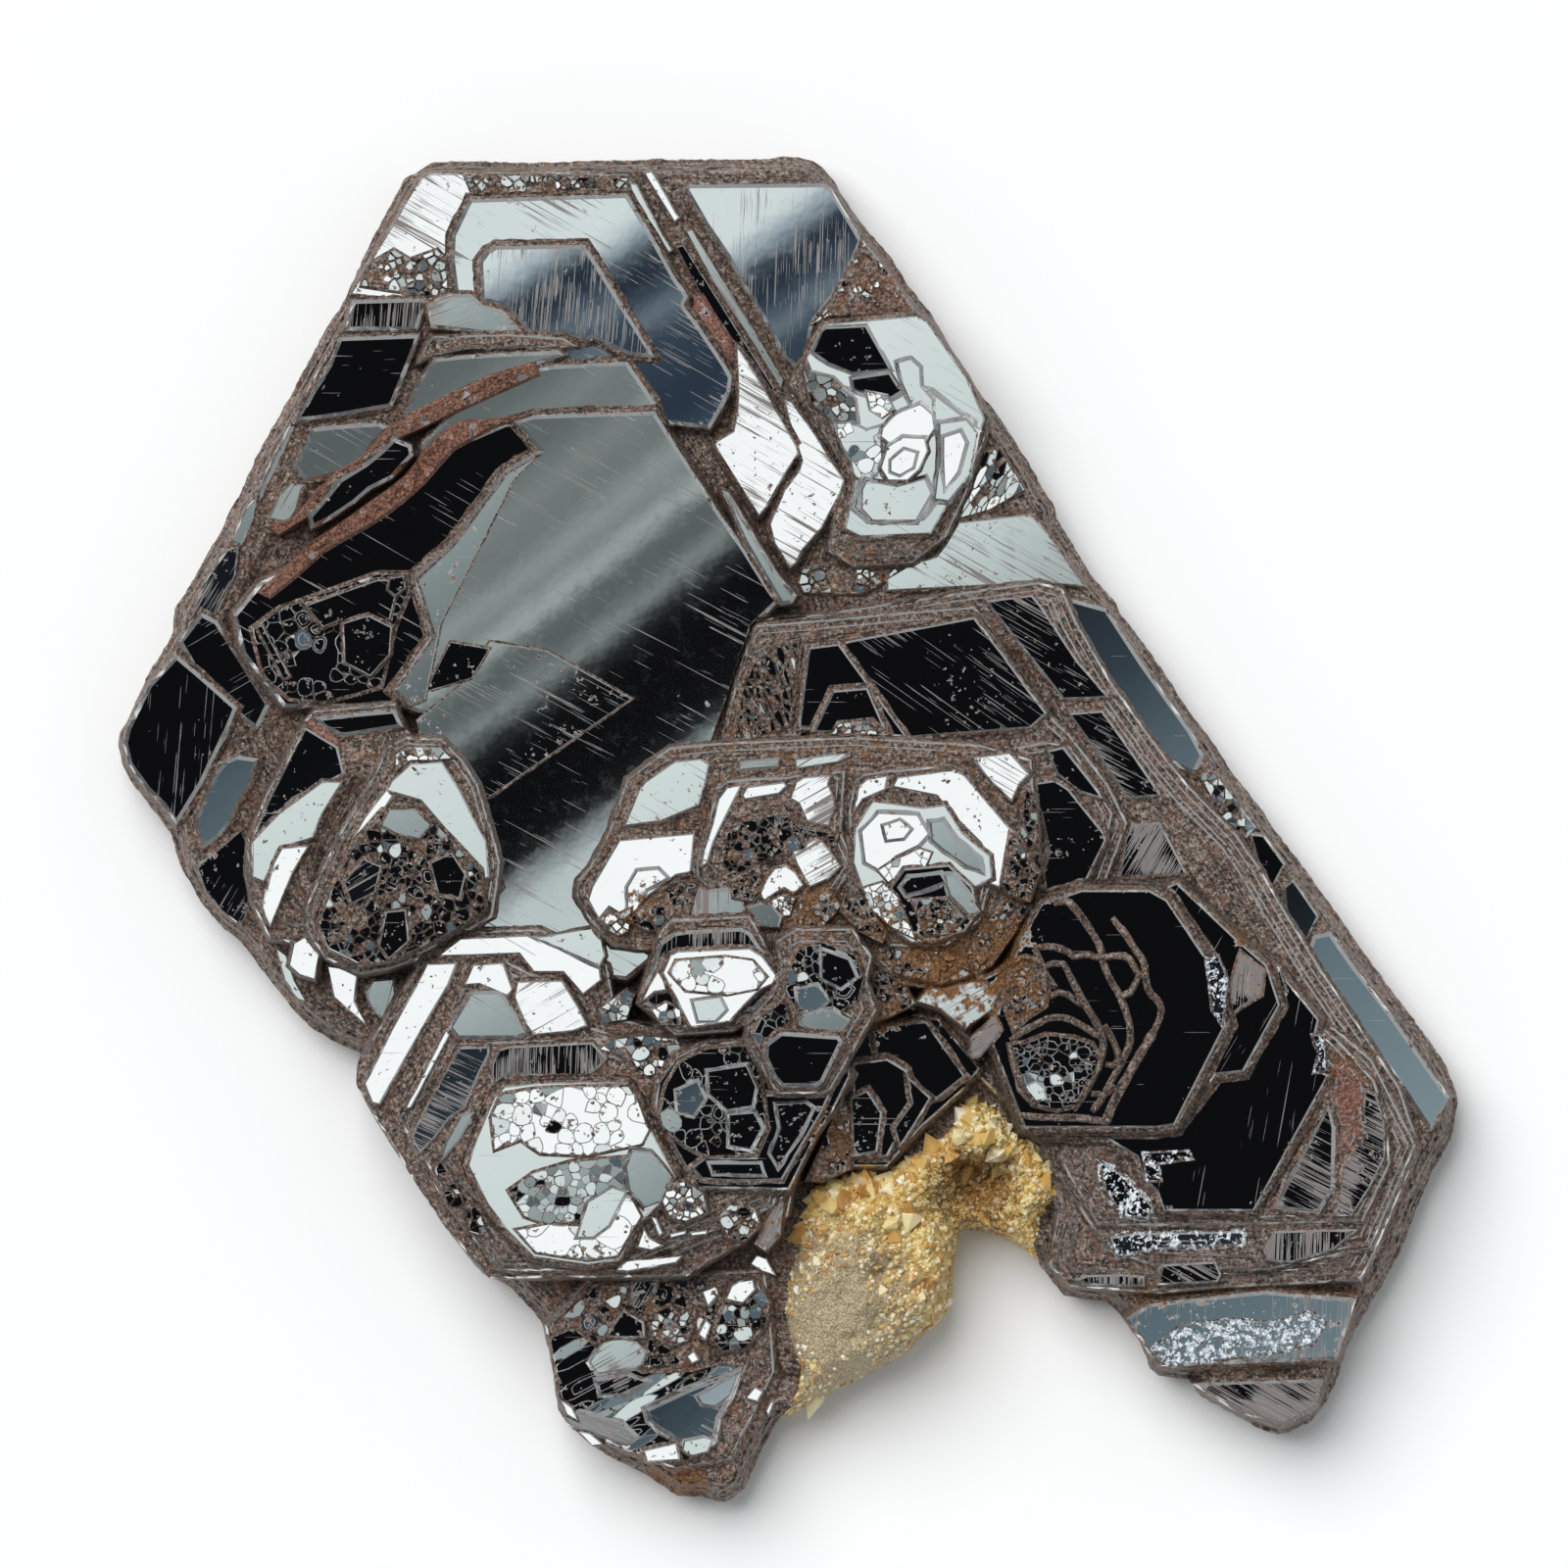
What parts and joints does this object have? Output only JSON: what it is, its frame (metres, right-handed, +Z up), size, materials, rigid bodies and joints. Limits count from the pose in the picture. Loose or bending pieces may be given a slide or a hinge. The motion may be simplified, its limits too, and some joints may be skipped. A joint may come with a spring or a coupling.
{
  "type": "hematite crystal group",
  "caption": "Flat group of stacked, mirror-bright tabular hematite crystals with stepped bevelled edges, grown together, with a lump of pale yellow sugary matrix at its lower edge.",
  "frame": {"origin": "middle of the bounding box, on the plane that the group rests on", "axes": "+Z up, out of the crystal faces, the shortest extent; +Y towards the straight upper edge of the group, +X to the right of it"},
  "size_m": [0.0548, 0.055, 0.0079],
  "materials": {
    "hematite": "mirror-bright dark steel grey faces, rough rusty brown edges",
    "matrix": "pale yellow, sugary, with small glassy crystals and brown pits"
  },
  "bodies": {
    "root": {"hematite_plates": "hematite", "matrix": "matrix"}
  },
  "joints": []
}
